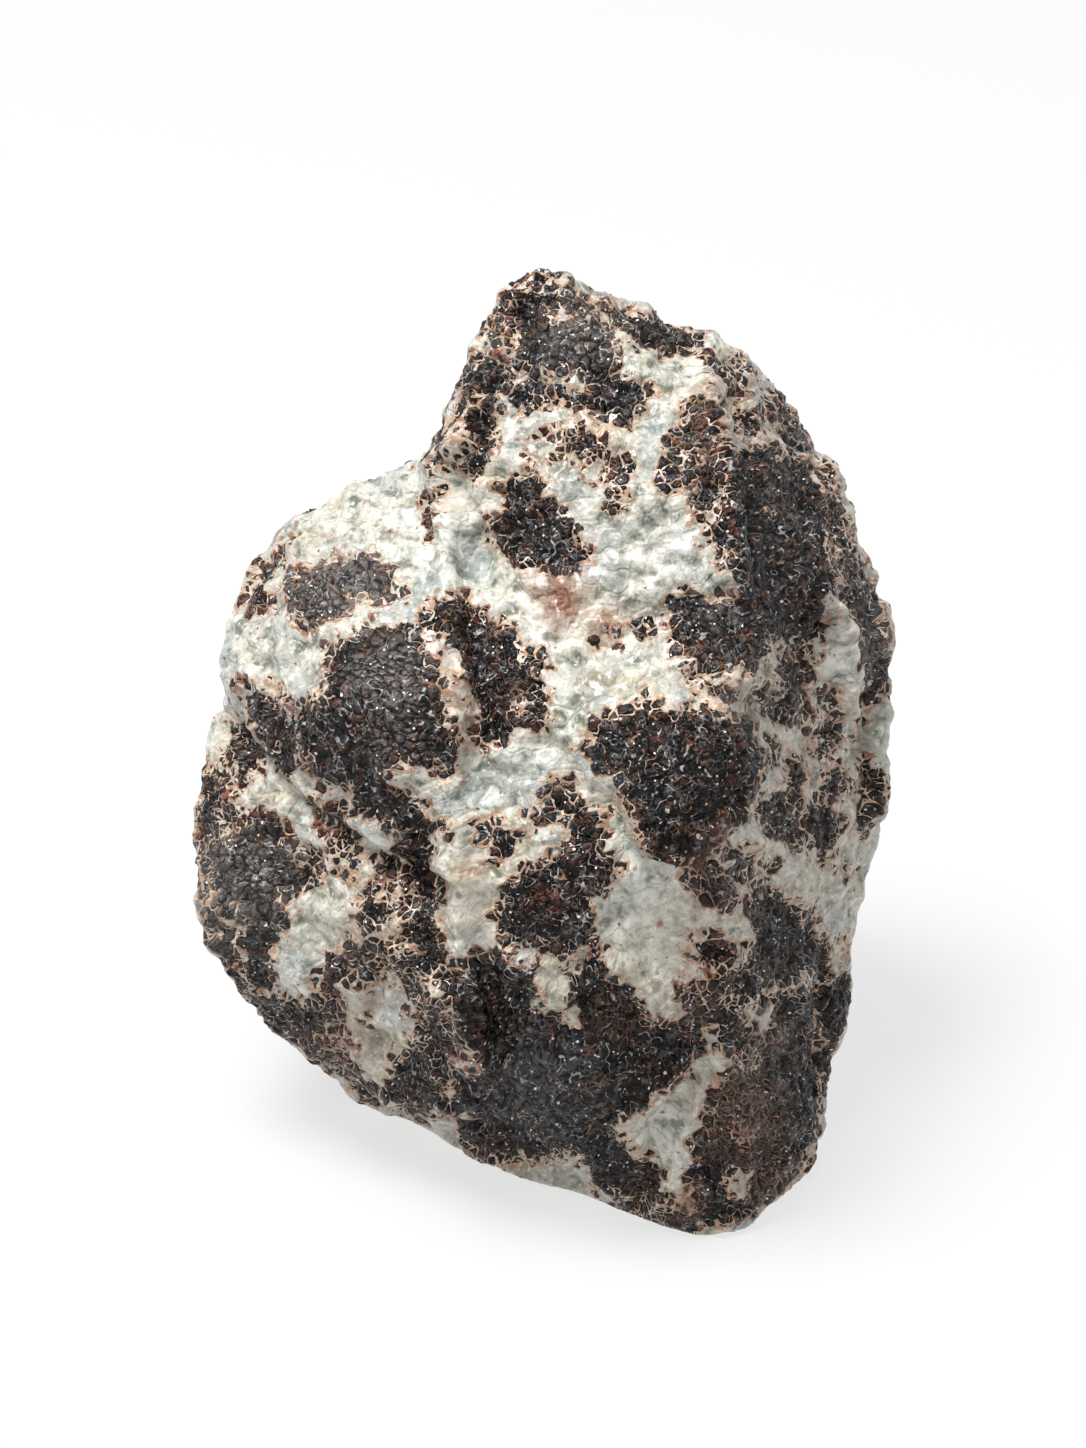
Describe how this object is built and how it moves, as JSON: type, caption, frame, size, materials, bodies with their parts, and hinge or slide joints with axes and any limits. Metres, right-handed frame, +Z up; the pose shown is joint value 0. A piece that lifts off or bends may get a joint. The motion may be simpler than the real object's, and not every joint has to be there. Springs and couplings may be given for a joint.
{
  "type": "rough rock",
  "caption": "Rough angular hand specimen of coarse mottled rock that stands on its flat underside.",
  "frame": {"origin": "on the ground under the middle of the stone", "axes": "+Z up from the flat underside to the peak; -Y is the broad face that the picture shows; +X to that face's right"},
  "size_m": [0.0768, 0.0686, 0.0952],
  "materials": {
    "stone": "knobbly weathered surface: brown-black patches and pale greenish-white patches with thin rust rims"
  },
  "bodies": {
    "root": {"rock": "stone"}
  },
  "joints": []
}
